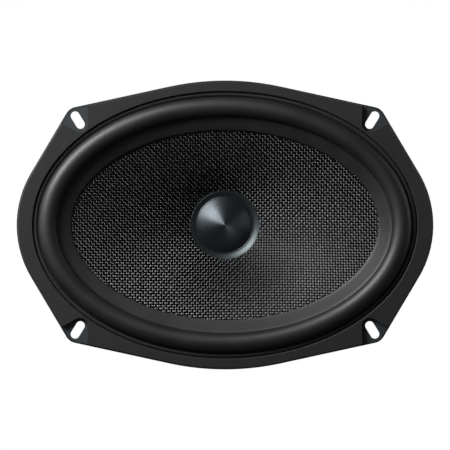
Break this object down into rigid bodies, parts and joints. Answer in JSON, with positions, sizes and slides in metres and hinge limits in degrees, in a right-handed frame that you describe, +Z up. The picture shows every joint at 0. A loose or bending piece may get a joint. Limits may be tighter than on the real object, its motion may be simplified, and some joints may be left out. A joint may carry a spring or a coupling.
{
  "type": "coaxial car speaker",
  "caption": "Oval coaxial car loudspeaker with a woven cone, half-roll surround, centre tweeter pod and slotted mounting flange.",
  "frame": {"origin": "centre of the mounting plane, the rear face of the flange", "axes": "+X along the long side, +Z up, +Y behind the panel; the cone faces -Y"},
  "size_m": [0.237, 0.0946, 0.1642],
  "materials": {
    "basket_coat": "satin black powder coat with a fine grain",
    "gasket_rubber": "matt moulded rubber",
    "board_phenolic": "brown phenolic board",
    "blade_tin": "tin plated brass",
    "rivet_brass": "plated brass",
    "plate_steel": "zinc plated steel",
    "rivet_steel": "zinc plated steel",
    "ferrite": "sintered ferrite, dull grey black",
    "copper_cap": "bare copper",
    "post_aluminium": "black anodised aluminium",
    "pod_plastic": "matt black moulded plastic",
    "bezel_metal": "dark satin metal ring",
    "neodymium": "nickel plated magnet",
    "wire_black": "black insulation",
    "wire_red": "red insulation",
    "capacitor_sleeve": "dark blue shrink sleeve",
    "adhesive": "cream adhesive bead",
    "cone_weave": "glossy black woven fibre cloth",
    "surround_rubber": "satin black rubber",
    "spider_cloth": "resin treated cloth",
    "former_foil": "aluminium foil",
    "coil_wire": "enamelled copper wire",
    "solder": "solder",
    "tinsel": "braided tinsel lead",
    "dome_metal": "turned dark metal dome",
    "suspension_film": "thin film"
  },
  "bodies": {
    "chassis": {"basket": "basket_coat", "front_gasket": "gasket_rubber", "terminal_board": "board_phenolic", "terminal_blade_positive": "blade_tin", "terminal_blade_negative": "blade_tin", "terminal_rivets": "rivet_brass", "top_plate": "plate_steel", "basket_rivets": "rivet_steel", "ferrite_magnet": "ferrite", "back_plate": "plate_steel", "pole_cap": "copper_cap", "tweeter_post": "post_aluminium", "post_nut": "rivet_steel", "tweeter_housing": "pod_plastic", "tweeter_bezel": "bezel_metal", "tweeter_pole_cup": "plate_steel", "tweeter_magnet": "neodymium", "tweeter_top_plate": "plate_steel", "tweeter_lead_negative": "wire_black", "tweeter_lead_positive": "wire_red", "capacitor_link": "wire_red", "crossover_capacitor": "capacitor_sleeve", "capacitor_adhesive": "adhesive"},
    "cone_assembly": {"cone": "cone_weave", "surround": "surround_rubber", "spider": "spider_cloth", "voice_coil_former": "former_foil", "voice_coil_winding": "coil_wire", "lead_pads": "solder", "tinsel_lead_positive": "tinsel", "tinsel_lead_negative": "tinsel"},
    "tweeter_diaphragm": {"tweeter_dome": "dome_metal", "tweeter_suspension": "suspension_film", "tweeter_coil_former": "former_foil", "tweeter_coil_winding": "coil_wire"}
  },
  "joints": [
    {"name": "cone_travel", "type": "slide", "parent": "chassis", "child": "cone_assembly", "axis": [0, 1, 0], "range_m": [-0.006, 0.006], "stiffness_N_per_m": 2800, "deforming": ["surround", "spider", "tinsel_lead_positive", "tinsel_lead_negative"]},
    {"name": "tweeter_travel", "type": "slide", "parent": "chassis", "child": "tweeter_diaphragm", "axis": [0, 1, 0], "range_m": [-0.0003, 0.0003], "stiffness_N_per_m": 300, "deforming": ["tweeter_suspension"]}
  ]
}
